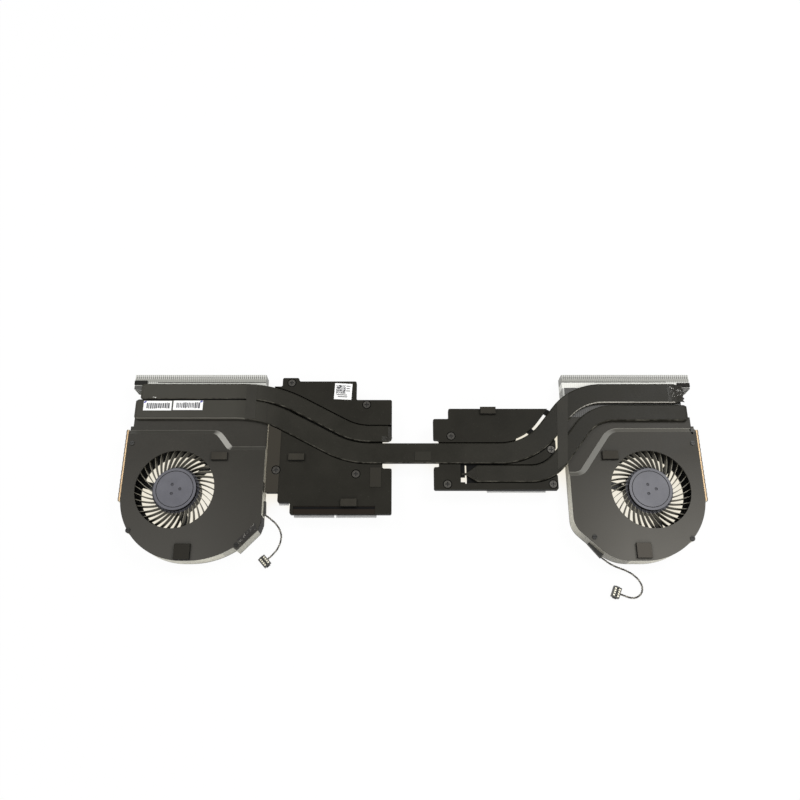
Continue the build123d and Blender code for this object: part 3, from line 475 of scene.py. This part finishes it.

# Rotors: one moulding of thin swept blades on a hub with a grooved top.
# The hub is a smooth bluish grey with three moulding marks; the blades' tops are painted pale as highlight
# and their flanks dark as shade.
axis_y_mm = -15.0
hub_shoulder = (12.1, 13.4)
hub_wall = (11.5, 12.3)
ring_groove = (10.1, 10.7)
blade_tops = (13.4, 1000.0)
mark_reach = (0.0, 4.3)
groove_floor_mm = (9.0, 10.7)
mark_floor_mm = (9.0, 10.74)
steep_up = (-2.0, 0.5)
blade_top_highlight_grey = (0.19, 0.178, 0.14)
blade_flank_shade_black = (0.032, 0.029, 0.022)
hub_wall_shade_black = (0.006, 0.006, 0.006)
hub_groove_shade_black = (0.012, 0.012, 0.014)
mark_shade_grey = (0.045, 0.045, 0.052)
shoulder_shade_black, shoulder_shade_share = (0.02, 0.02, 0.022), 0.45
# Painted light: the right hub is given a lighter tone range than the left one.
for side, axis_x_mm, dark, pale in (
        ("left", -133.4, (0.085, 0.085, 0.098), (0.118, 0.118, 0.135)),
        ("right", 133.4, (0.105, 0.105, 0.118), (0.145, 0.145, 0.16))):
    moulding, tree, shader = new_material(side + "_rotor_moulding")
    spot = placed(tree)
    grain = grain_of(tree)
    feed(tree, shader.inputs["Base Color"], mixed(tree, grain["Smudge"], dark, pale))
    across = calculate(tree, "SUBTRACT", spot["X mm"], axis_x_mm)
    along = calculate(tree, "SUBTRACT", spot["Y mm"], axis_y_mm)
    square = calculate(tree, "ADD", times(tree, across, across), times(tree, along, along))
    radius = calculate(tree, "SQRT", square)
    # Painted highlight on the blades' upward faces and painted shade on their steep flanks.
    repaint(tree, shader, between(tree, radius, *blade_tops), blade_top_highlight_grey)
    steep = between(tree, spot["Up"], *steep_up)
    repaint(tree, shader, steep, blade_flank_shade_black)
    # Painted shade on the hub's steep step wall.
    repaint(tree, shader, times(tree, steep, between(tree, radius, *hub_wall)), hub_wall_shade_black)
    # Painted shade in the hub's ring groove.
    ring = times(tree, between(tree, radius, *ring_groove), between(tree, spot["Z mm"], *groove_floor_mm))
    repaint(tree, shader, ring, hub_groove_shade_black)
    # Painted shade on the floors of the three marks.
    mark_shade = times(tree, between(tree, radius, *mark_reach), between(tree, spot["Z mm"], *mark_floor_mm))
    repaint(tree, shader, mark_shade, mark_shade_grey)
    # Painted shade darkens the hub's outer shoulder ring.
    shoulder = between(tree, radius, *hub_shoulder)
    repaint(tree, shader, times(tree, shoulder, shoulder_shade_share), shoulder_shade_black)
    roughen(tree, shader, grain["Grain"], 0.04, 0.00003)
    shader.inputs["Specular IOR Level"].default_value = 0.2
    shader.inputs["Roughness"].default_value = 0.45
    dress(side + "_impeller", moulding)

# Fan covers: thin pressed sheet with a bevelled step, painted satin black, with painted highlight on the step
# and painted sheen on the top level.
# Each has small screws, foam pads and a wavy contact strip on its outer edge.
# The left one has a scuffed film over its cable bay.


def paint_of(material):
    tree = material.node_tree
    return tree, tree.nodes["Principled BSDF"], placed(tree)


level_up = (0.96, 2.0)
step_up = (0.60, 0.96)
side_up = (-2.0, 0.4)
top_mm = (11.0, 12.0)
ledge_mm = (8.0, 9.2)
foot_mm = (8.0, 9.4)
under_pipes_mm = (35.5, 60.0)
south_pads_mm = (-60.0, -25.0)
sheen_run_mm = (6.0, -52.0)
sideways_highlight_run = (0.10, 0.42)
inboard_shade_share = 0.45
pit_shade_black = (0.003, 0.003, 0.003)
foam_side_shade_black = (0.004, 0.004, 0.004)
strip_rim_shade_brown = (0.035, 0.022, 0.012)
inboard_shade_runs = {"left": (-118.0, -88.0), "right": (118.0, 92.0)}
strip_rims = {"left": (-166.0, -163.75), "right": (163.8, 166.0)}
cover_screw_black = grained("cover_screw_black", (0.006, 0.006, 0.005), (0.014, 0.013, 0.011), 0.4,
                            gloss=0.25)
for side, low, high, step_highlight, flat_step_highlight, painted_sheen, south_pad_light_and_shade in (
        ("left", 0.024, 0.034, 0.36, 0.050, 0.055, (0.019, 0.0174, 0.0138)),
        ("right", 0.028, 0.040, 0.22, 0.105, 0.105, (0.075, 0.068, 0.058))):
    low_black = (low, low * 0.93, low * 0.76)
    cover_black = grained(side + "_cover_black", low_black, (high, high * 0.93, high * 0.78), 0.45,
                          gloss=0.11, dusty=0.10)
    tree, shader, spot = paint_of(cover_black)
    level = between(tree, spot["Up"], *level_up)
    # Painted sheen: the top level is lightened towards the front, more on the right cover.
    sheen_mask = times(tree, level, between(tree, spot["Z mm"], *top_mm), ramp(tree, spot["Y mm"], *sheen_run_mm))
    repaint(tree, shader, sheen_mask, (painted_sheen, painted_sheen * 0.95, painted_sheen * 0.84))
    # Painted shade: the top level darkens towards the inboard side.
    inboard_shade = ramp(tree, spot["X mm"], *inboard_shade_runs[side])
    repaint(tree, shader, times(tree, level, inboard_shade, inboard_shade_share), low_black)
    # Painted shade on the low bed between and under the pipes.
    gap_shade = times(tree, between(tree, spot["Z mm"], *ledge_mm), between(tree, spot["Y mm"], *under_pipes_mm))
    repaint(tree, shader, times(tree, level, gap_shade), pit_shade_black)
    # Painted highlight on the step: lighter on all of it, more so at its foot, and lightest where it slants
    # sideways.
    step = between(tree, spot["Up"], *step_up)
    repaint(tree, shader, step, (flat_step_highlight, flat_step_highlight * 0.96, flat_step_highlight * 0.84))
    foot_highlight = times(tree, step, between(tree, spot["Z mm"], *foot_mm))
    repaint(tree, shader, foot_highlight, (flat_step_highlight * 2.0, flat_step_highlight * 1.94, flat_step_highlight * 1.7))
    slant_step_highlight = ramp(tree, spot["Sideways"], *sideways_highlight_run)
    repaint(tree, shader, times(tree, step, slant_step_highlight), (step_highlight, step_highlight * 0.98, step_highlight * 0.90))
    dress(side + "_fan_cover", cover_black)
    dress(side + "_cover_screws", cover_screw_black)
    strip_copper = grained(side + "_strip_copper", (0.56, 0.37, 0.20), (0.82, 0.62, 0.38), 0.4, metal=0.15)
    tree, shader, spot = paint_of(strip_copper)
    # Painted shade on the contact strip's outer rim.
    repaint(tree, shader, between(tree, spot["X mm"], *strip_rims[side]), strip_rim_shade_brown)
    dress(side + "_contact_strip", strip_copper)
    pad_foam = grained(side + "_pad_foam", (0.030, 0.027, 0.022), (0.050, 0.046, 0.037), 0.85,
                       grains=4000.0, bump=0.3, gloss=0.14)
    tree, shader, spot = paint_of(pad_foam)
    # Painted light and shade: the south pads are darker on the left fan and lighter on the right.
    repaint(tree, shader, between(tree, spot["Y mm"], *south_pads_mm), south_pad_light_and_shade)
    # Painted shade on the pads' sides.
    repaint(tree, shader, between(tree, spot["Up"], *side_up), foam_side_shade_black)
    dress(side + "_fan_pads", pad_foam)

bay_film = grained("bay_film", (0.008, 0.007, 0.006), (0.018, 0.016, 0.014), 0.3, gloss=0.3, dusty=0.6)
dress("bay_tape", bay_film)
scuff_grey = grained("scuff_grey", (0.10, 0.095, 0.085), (0.30, 0.29, 0.26), 0.6)
scuff_start_x, scuff_start_y = -0.0956, -0.0459
scuff_run_x, scuff_run_y = 0.0082, 0.0104
scuff_stray = 0.0006
scuff_level, scuff_thickness = 0.01168, 0.00004
scuff_count = 26
chance = random.Random(4)
shape = bmesh.new()
for index in range(scuff_count):
    along = chance.random()
    x = scuff_start_x + scuff_run_x * along + chance.uniform(-scuff_stray, scuff_stray)
    y = scuff_start_y + scuff_run_y * along + chance.uniform(-scuff_stray, scuff_stray)
    size = (chance.uniform(0.0002, 0.0007), chance.uniform(0.00012, 0.0003), scuff_thickness)
    add_box(shape, (x, y, scuff_level), size, chance.uniform(0, 3))
new_piece("bay_scuffs", shape, "black_tape", scuff_grey)
step_end_centre, step_end_size = (0.1607, 0.0190, 0.0102), (0.0010, 0.0036, 0.0026)
shape = bmesh.new()
add_box(shape, step_end_centre, step_end_size)
new_piece("right_step_end", shape, "black_paint", cover_screw_black)

# Fin stacks: folded aluminium sheets locked together, their tabs making a finely ruled pale top.
# A short black foam sits on each outer end, and flecks of old glue lie along the pipes' edges.
fin_pitch = 0.0012
fin_up = (0.5, 2.0)
fin_top_mm = (8.5, 8.8)
groove_depth_mm = (8.4, 8.8)
low_band_start = 46.5
middle_band_end = 52.4
lock_row_mm = (52.6, 53.6)
band_gap, groove_half = 0.25, 0.26
low_band_share, middle_band_share = 0.80, 0.7
middle_grey = (0.19, 0.19, 0.166)
lock_grey = (0.12, 0.12, 0.11)
fin_groove_shade_dark = (0.022, 0.022, 0.019)
bend_x_mm, bend_rate = -97.0, 0.0085
left_film_mm = (0.0, 48.2)
right_film_mm, right_film_x_mm = (0.0, 46.8), (89.8, 200.0)
white_end_mm, white_end_x_mm = (47.0, 50.1), (149.0, 157.0)
white_end_paint = (0.68, 0.68, 0.64)
fin_film_black = (0.020, 0.019, 0.016)
foam_black = grained("foam_black", (0.010, 0.010, 0.010), (0.024, 0.023, 0.021), 0.9,
                     grains=4000.0, bump=0.3, gloss=0.14)
# Painted shade: the right fin stack's ruled top is painted darker than the left one.
for side, groove_y, fin_light_level, low_paint in (("left", 50.1, 1.0, 0.60), ("right", 50.4, 0.82, 0.74)):
    fin_sheet, tree, shader = new_material(side + "_fin_sheet")
    spot = placed(tree)
    place = tree.nodes.new("ShaderNodeTexCoord")
    ruling = tree.nodes.new("ShaderNodeTexWave")
    ruling.bands_direction = "X"
    ruling.inputs["Scale"].default_value = 2 * math.pi / 20 / fin_pitch
    ruling.inputs["Distortion"].default_value = 0.0
    feed(tree, ruling.inputs["Vector"], place.outputs["Object"])
    seam_grey = (0.25 * fin_light_level, 0.25 * fin_light_level, 0.23 * fin_light_level)
    tab_grey = (0.58 * fin_light_level, 0.58 * fin_light_level, 0.55 * fin_light_level)
    feed(tree, shader.inputs["Base Color"], mixed(tree, ruling.outputs["Fac"], seam_grey, tab_grey))
    upward = between(tree, spot["Up"], *fin_up)
    low_band = between(tree, spot["Y mm"], low_band_start, groove_y - band_gap)
    repaint(tree, shader, times(tree, low_band, low_band_share), (low_paint, low_paint, low_paint * 0.93))
    middle_band = between(tree, spot["Y mm"], groove_y + band_gap, middle_band_end)
    repaint(tree, shader, times(tree, middle_band, middle_band_share), middle_grey)
    locks = times(tree, between(tree, spot["Y mm"], *lock_row_mm), between(tree, spot["Z mm"], *fin_top_mm))
    repaint(tree, shader, times(tree, locks, upward), lock_grey)
    # Painted shade in the fin top's groove.
    fin_groove_shade = times(tree, between(tree, spot["Y mm"], groove_y - groove_half, groove_y + groove_half),
                   between(tree, spot["Z mm"], *groove_depth_mm))
    repaint(tree, shader, fin_groove_shade, fin_groove_shade_dark)
    if side == "left":
        past_bend = calculate(tree, "MAXIMUM", calculate(tree, "SUBTRACT", spot["X mm"], bend_x_mm), 0.0)
        drop = times(tree, past_bend, past_bend, bend_rate)
        film = between(tree, calculate(tree, "ADD", spot["Y mm"], drop), *left_film_mm)
    else:
        white_end = times(tree, between(tree, spot["X mm"], *white_end_x_mm),
                          between(tree, spot["Y mm"], *white_end_mm))
        repaint(tree, shader, times(tree, white_end, upward), white_end_paint)
        film = times(tree, between(tree, spot["Y mm"], *right_film_mm),
                     between(tree, spot["X mm"], *right_film_x_mm))
    repaint(tree, shader, times(tree, film, upward), fin_film_black)
    roughen(tree, shader, ruling.outputs["Fac"], 0.3, 0.0001)
    shader.inputs["Roughness"].default_value = 0.5
    dress(side + "_fin_stack", fin_sheet)
    dress(side + "_fin_foam", foam_black)

glue_white = grained("glue_white", (0.70, 0.69, 0.65), (0.86, 0.85, 0.80), 0.7)
fin_fleck, film_fleck = 0.0011, 0.0005
least_length, least_width, width_share = 0.0003, 0.00015, 0.3
fleck_thickness, fleck_turn = 0.0001, 0.9
glue_spots = [
    (-0.1512, -0.1375, 0.0485, 0.0494, 0.00897, fin_fleck, 18),
    (0.1475, 0.1545, 0.0487, 0.0495, 0.00897, fin_fleck, 12),
    (-0.1535, -0.1495, 0.0394, 0.0400, 0.01142, fin_fleck, 4),
    (0.1510, 0.1580, 0.0398, 0.0463, 0.01165, film_fleck, 22),
]
shape = bmesh.new()
for west, east, south, north, level, longest, count in glue_spots:
    for index in range(count):
        length = chance.uniform(least_length, longest)
        width = chance.uniform(least_width, width_share * longest)
        place = (chance.uniform(west, east), chance.uniform(south, north), level)
        add_box(shape, place, (length, width, fleck_thickness), chance.uniform(-fleck_turn, fleck_turn))
new_piece("glue_flecks", shape, "white_plastic", glue_white)

# Heat pipes: flattened copper tubes under a satin black coat, bent across the plates to the fins.
# The coat is paler beside the left fan, scraped along the shoulders with painted highlight on their
# front-facing side, and crumpled at two of the ends.
# The long pipe's south edge carries a thin pale strip where it crosses the right fan.
shoulder_up = (0.2, 0.9)
flank_up = (-0.5, 0.9)
front_run = (0.1, 0.5)
beside_left_mm = (-160.0, -97.0)
south_flank_mm = (24.0, 29.0)
seam_mm = (38.1, 39.1)
seam_shade_black = (0.002, 0.002, 0.002)
paler_run_mm, paler_coat = (-76.0, -104.0), (0.041, 0.039, 0.032)
scrapes_per_metre, scrape_run = 260.0, (0.40, 0.80)
scrape_and_highlight_grey = (0.13, 0.122, 0.10)
flank_highlight_grey = (0.13, 0.125, 0.107)
pipe_black = grained("pipe_black", (0.0135, 0.0127, 0.0095), (0.0200, 0.0187, 0.0145), 0.42,
                     gloss=0.09, dusty=0.08)
tree, shader, spot = paint_of(pipe_black)
repaint(tree, shader, ramp(tree, spot["X mm"], *paler_run_mm), paler_coat)
place = tree.nodes.new("ShaderNodeTexCoord")
scrapes = tree.nodes.new("ShaderNodeTexNoise")
scrapes.inputs["Scale"].default_value = scrapes_per_metre
feed(tree, scrapes.inputs["Vector"], place.outputs["Object"])
scraped = ramp(tree, scrapes.outputs["Fac"], *scrape_run)
frontal = ramp(tree, spot["Frontal"], *front_run)
shoulder = between(tree, spot["Up"], *shoulder_up)
# Scrapes plus painted highlight on the front-facing pipe shoulders.
repaint(tree, shader, times(tree, shoulder, frontal, scraped), scrape_and_highlight_grey)
beside_left_fan = between(tree, spot["X mm"], *beside_left_mm)
flank = times(tree, between(tree, spot["Up"], *flank_up), frontal)
# Painted highlight lightens the long pipe's south flank beside the left fan.
south_flank_highlight = times(tree, flank, between(tree, spot["Y mm"], *south_flank_mm))
repaint(tree, shader, times(tree, south_flank_highlight, beside_left_fan), flank_highlight_grey)
# Painted shade in the seam between the left and long pipes beside the left fan.
seam_shade = times(tree, between(tree, spot["Y mm"], *seam_mm), beside_left_fan)
repaint(tree, shader, seam_shade, seam_shade_black)
for pipe in ("left", "long", "right"):
    dress(pipe + "_heat_pipe", pipe_black)


def crumpled_film(west, east, south, north, fall, ragged, seed):
    film_step = 0.00018
    film_level = 0.01143
    fold_height = 0.0005
    folds_per_metre, creases_per_metre, rags_per_metre = 1300.0, 3100.0, 900.0
    columns = max(8, int((east - west) / film_step))
    rows = max(8, int((north - south) / film_step))
    shape = bmesh.new()
    grid = []
    for row in range(rows + 1):
        y = south + (north - south) * row / rows
        reach = east + ragged * noise.noise(Vector((seed, y * rags_per_metre, 3.0)))
        line = []
        for column in range(columns + 1):
            along = column / columns
            x = west + (reach - west) * along
            fold = noise.noise(Vector((x * folds_per_metre, y * folds_per_metre, seed)))
            crease = noise.noise(Vector((x * creases_per_metre, y * creases_per_metre, seed)))
            rise = fold_height * min(1.0, 2.5 * along) * abs(fold + 0.5 * crease)
            line.append(shape.verts.new((x, y, film_level + rise - fall * along ** 3)))
        grid.append(line)
    for first, second in zip(grid, grid[1:]):
        for column in range(columns):
            shape.faces.new((first[column], first[column + 1], second[column + 1], second[column]))
    return shape


crumple_black = grained("crumple_black", (0.012, 0.0113, 0.0085), (0.024, 0.0225, 0.018), 0.42,
                        gloss=0.2, dusty=0.3)
crumple = crumpled_film(0.1497, 0.1590, 0.0371, 0.0476, fall=0.0012, ragged=0.0016, seed=7.0)
new_piece("right_end_film", crumple, "black_tape", crumple_black)
crumple = crumpled_film(-0.0176, -0.0120, 0.0131, 0.0159, fall=0.0006, ragged=0.0008, seed=2.0)
new_piece("left_end_film", crumple, "black_tape", crumple_black)

pale_edge_strip = grained("pale_edge_strip", (0.18, 0.17, 0.147), (0.46, 0.44, 0.39), 0.4)
turn_x, turn_y, turn_radius = 0.11153, 0.0105, 0.032
turn_degrees = range(140, 89, -2)
straight_stations = (0.1200, 0.1320, 0.1440, 0.1535)
edge_section = [(0.005418, 0.011374), (0.005734, 0.011180), (0.005943, 0.010893)]
shape = bmesh.new()
rows = []
for degrees in turn_degrees:
    angle = math.radians(degrees)
    row = []
    for out, z in edge_section:
        reach = turn_radius - out
        row.append(shape.verts.new((turn_x + reach * math.cos(angle), turn_y + reach * math.sin(angle), z)))
    rows.append(row)
for x in straight_stations:
    rows.append([shape.verts.new((x, turn_y + turn_radius - out, z)) for out, z in edge_section])
for first, second in zip(rows, rows[1:]):
    for index in range(len(edge_section) - 1):
        shape.faces.new((first[index], first[index + 1], second[index + 1], second[index]))
new_piece("long_pipe_rubbed_edge", shape, "black_paint", pale_edge_strip)

# Cold plates: stamped aluminium painted black, with copper blocks and soft grey pads under them.
# Four screws stay captive in round seats on each plate, held by split clips below.
screw_recess_mm = (9.5, 10.6)
column_mm, column_top_mm = (-90.0, -74.0), (10.95, 12.0)
panel_mm, panel_top_mm = (-26.0, -16.0), (11.05, 12.0)
edge_up, edge_mm = (-0.5, 0.5), (10.35, 11.2)
band_mm, band_shade_mm = (10.3, 10.5), (-26.4, -25.0)
under_shade_mm = (8.0, 10.3)
recess_shade_black = (0.008, 0.008, 0.008)
column_paint = (0.036, 0.032, 0.025)
panel_top_highlight = (0.026, 0.024, 0.019)
band_paint = (0.015, 0.0112, 0.0080)
screw_dark = grained("screw_dark", (0.022, 0.020, 0.017), (0.056, 0.053, 0.045), 0.35, metal=0.5)
tree, shader, spot = paint_of(screw_dark)
# Painted shade in the screws' slots and seats.
repaint(tree, shader, between(tree, spot["Z mm"], *screw_recess_mm), recess_shade_black)
block_copper = grained("block_copper", (0.58, 0.30, 0.16), (0.70, 0.40, 0.23), 0.28, metal=1.0)
plate_foam = grained("plate_foam", (0.020, 0.018, 0.014), (0.036, 0.033, 0.026), 0.85,
                     grains=4000.0, bump=0.3, gloss=0.14)
tree, shader, spot = paint_of(plate_foam)
# Painted shade on the foam's sides.
repaint(tree, shader, between(tree, spot["Up"], *side_up), foam_side_shade_black)
pad_grey = grained("pad_grey", (0.52, 0.52, 0.52), (0.66, 0.66, 0.65), 0.8)
for plate in ("graphics", "processor"):
    plate_paint = grained(plate + "_paint", (0.0120, 0.0112, 0.0085), (0.0185, 0.0173, 0.0135), 0.5,
                          gloss=0.07, dusty=0.10)
    tree, shader, spot = paint_of(plate_paint)
    if plate == "graphics":
        column = between(tree, spot["X mm"], *column_mm)
        repaint(tree, shader, times(tree, between(tree, spot["Z mm"], *column_top_mm), column), column_paint)
        # Painted highlight: the raised panel's top is painted lighter than the plate.
        panel = between(tree, spot["X mm"], *panel_mm)
        repaint(tree, shader, times(tree, between(tree, spot["Z mm"], *panel_top_mm), panel), panel_top_highlight)
        # Painted shade on the plate's low walls.
        edge_shade = times(tree, between(tree, spot["Up"], *edge_up), between(tree, spot["Z mm"], *edge_mm))
        repaint(tree, shader, edge_shade, pit_shade_black)
        band = between(tree, spot["Z mm"], *band_mm)
        repaint(tree, shader, band, band_paint)
        band_shade = times(tree, band, between(tree, spot["Y mm"], *band_shade_mm))
        repaint(tree, shader, band_shade, seam_shade_black)
    # Painted shade on the plate below 10.3 mm: its seats, walls and underside.
    repaint(tree, shader, between(tree, spot["Z mm"], *under_shade_mm), pit_shade_black)
    dress(plate + "_plate", plate_paint)
    dress(plate + "_screws", screw_dark)
    dress(plate + "_clips", plain_steel)
    dress(plate + "_block", block_copper)
    dress(plate + "_thermal_pads", pad_grey)
    dress(plate + "_foam", plate_foam)

# Films and labels: black film over the pipes beside each fan, a small patch on the bridge between the plates.
# The paper labels carry only plain bars and dots where print would be.
left_film_black = grained("left_film_black", (0.025, 0.0235, 0.019), (0.035, 0.033, 0.027), 0.42, gloss=0.11)
right_film_black = grained("film_black", (0.020, 0.0187, 0.0145), (0.030, 0.028, 0.022), 0.42, gloss=0.11)
patch_grey = grained("patch_grey", (0.019, 0.018, 0.014), (0.026, 0.0245, 0.019), 0.7, gloss=0.12)
label_white = grained("label_white", (0.80, 0.80, 0.79), (0.90, 0.90, 0.89), 0.6)
ink_grey = grained("ink_grey", (0.03, 0.03, 0.035), (0.09, 0.09, 0.10), 0.6)
ink_blue = grained("ink_blue", (0.03, 0.03, 0.22), (0.06, 0.06, 0.36), 0.6)
dress("left_pipe_tape", left_film_black)
dress("right_pipe_tape", right_film_black)
dress("bridge_patch", patch_grey)
dress("pipe_labels", label_white)
dress("plate_label", label_white)

ink_thickness = 0.00002
pipe_ink_level = 0.01151
plate_ink_level = 0.01091
plate_label_turn = -0.05
pipe_prints = [(-0.1482, 0.0346, 0.0128), (-0.1305, 0.0348, 0.0135)]
bar_widths, bar_heights, bar_gaps = (0.0005, 0.0011), (0.0028, 0.0036), (0.0002, 0.0004)
bar_stray = 0.0001
dot_size = 0.0006
dots_in_row = 9
odd_dot_share = 0.25
dots_west, dots_south = -0.0442, 0.0427
line_height = 0.00055
plate_lines = [
    (-0.0374, 0.0470, 0.0024), (-0.0376, 0.0455, 0.0020), (-0.0376, 0.0440, 0.0023),
    (-0.0412, 0.0416, 0.0062), (-0.0408, 0.0404, 0.0056),
]
shape = bmesh.new()
for centre_x, centre_y, width in pipe_prints:
    x = centre_x - width / 2
    while x < centre_x + width / 2:
        bar = chance.uniform(*bar_widths)
        place = (x + bar / 2, centre_y + chance.uniform(-bar_stray, bar_stray), pipe_ink_level)
        add_box(shape, place, (bar, chance.uniform(*bar_heights), ink_thickness))
        x += bar + chance.uniform(*bar_gaps)
for row in range(dots_in_row):
    for column in range(dots_in_row):
        if (row + column) % 2 == 0 or chance.random() < odd_dot_share:
            place = (dots_west + column * dot_size, dots_south + row * dot_size, plate_ink_level)
            add_box(shape, place, (dot_size, dot_size, ink_thickness), plate_label_turn)
for x, y, width in plate_lines:
    add_box(shape, (x, y, plate_ink_level), (width, line_height, ink_thickness), plate_label_turn)
new_piece("label_bars", shape, "label_paper", ink_grey)
corner_marks = [(-0.1556, 0.0369), (-0.1229, 0.0371)]
corner_size, corner_turn = (0.0015, 0.0009, ink_thickness), 0.5
shape = bmesh.new()
for x, y in corner_marks:
    add_box(shape, (x, y, pipe_ink_level), corner_size, corner_turn)
new_piece("label_corner_marks", shape, "label_paper", ink_blue)
film_edge_centre, film_edge_size = (-0.0843, 0.0304, 0.01142), (0.00028, 0.0118, 0.00004)
shape = bmesh.new()
add_box(shape, film_edge_centre, film_edge_size)
new_piece("film_edge", shape, "black_tape", tape_black)
